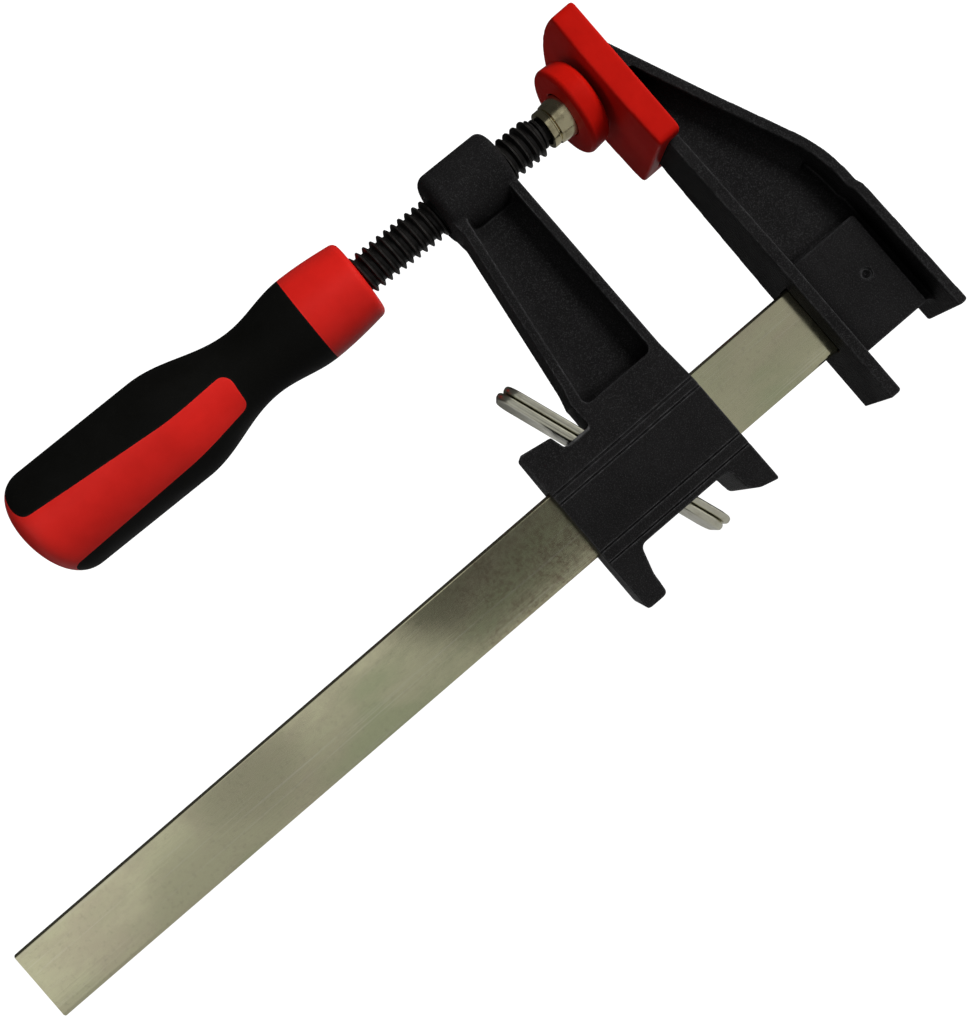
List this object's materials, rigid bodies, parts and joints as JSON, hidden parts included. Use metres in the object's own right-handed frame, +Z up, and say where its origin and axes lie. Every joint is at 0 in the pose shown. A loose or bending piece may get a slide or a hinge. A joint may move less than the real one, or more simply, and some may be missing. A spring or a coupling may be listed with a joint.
{
  "type": "ratchet bar clamp",
  "caption": "Steel bar clamp with cast jaws, a tilting plate clutch on a flat bar, a threaded spindle with a two-colour handle, and red caps on both jaws.",
  "frame": {"origin": "the bench plane under the feet, at the clamping face of the fixed jaw's casting, on the mid-plane", "axes": "+X along the bar towards the back of the fixed jaw, +Z up from the bench towards the screw, Y across the clamp"},
  "size_m": [0.3133, 0.033, 0.1404],
  "materials": {
    "black_casting": "textured black powder coat",
    "plated_bar": "dull yellowish zinc plating",
    "bright_plate": "bright nickel plating",
    "black_steel": "black oxide with oil",
    "spring_steel": "drawn spring wire",
    "red_plastic": "satin red moulding",
    "black_grip": "matte soft moulding"
  },
  "bodies": {
    "frame": {"bar": "plated_bar", "fixed_jaw": "black_casting", "jaw_pin": "black_casting", "jaw_cap": "red_plastic"},
    "slider": {"sliding_arm": "black_casting", "clutch_spring": "spring_steel"},
    "clutch": {"clutch_plate_left": "bright_plate", "clutch_plate_right": "bright_plate"},
    "feed": {"spindle_ball": "spring_steel"},
    "screw": {"spindle": "black_steel", "handle_core": "red_plastic", "handle_grip": "black_grip"},
    "foot": {"swivel_foot": "bright_plate", "swivel_cap": "red_plastic"}
  },
  "joints": [
    {"name": "arm_slide", "type": "slide", "parent": "frame", "child": "slider", "axis": [-1, 0, 0], "range_m": [0, 0.19]},
    {"name": "clutch_tilt", "type": "hinge", "parent": "slider", "child": "clutch", "pos_m": [-0.06673, 0, 0.044], "axis": [0, 1, 0], "range_deg": [0, 6], "stiffness_Nm_per_rad": 0.2, "springref_deg": -5.73, "deforming": ["clutch_spring"]},
    {"name": "screw_feed", "type": "slide", "parent": "slider", "child": "feed", "axis": [0.9994, 0, -0.0349], "range_m": [-0.015, 0]},
    {"name": "screw_turn", "type": "hinge", "parent": "feed", "child": "screw", "pos_m": [-0.0477, 0, 0.1189], "axis": [0.9994, 0, -0.0349], "range_deg": [-2160, 0]},
    {"name": "swivel_tilt", "type": "hinge", "parent": "feed", "child": "foot", "pos_m": [-0.0142, 0, 0.11773], "axis": [0, 1, 0], "range_deg": [-7, 7]}
  ],
  "couplings": [
    {"joint": "screw_feed", "follows": "screw_turn", "m_per_rad": 0.00039788}
  ]
}
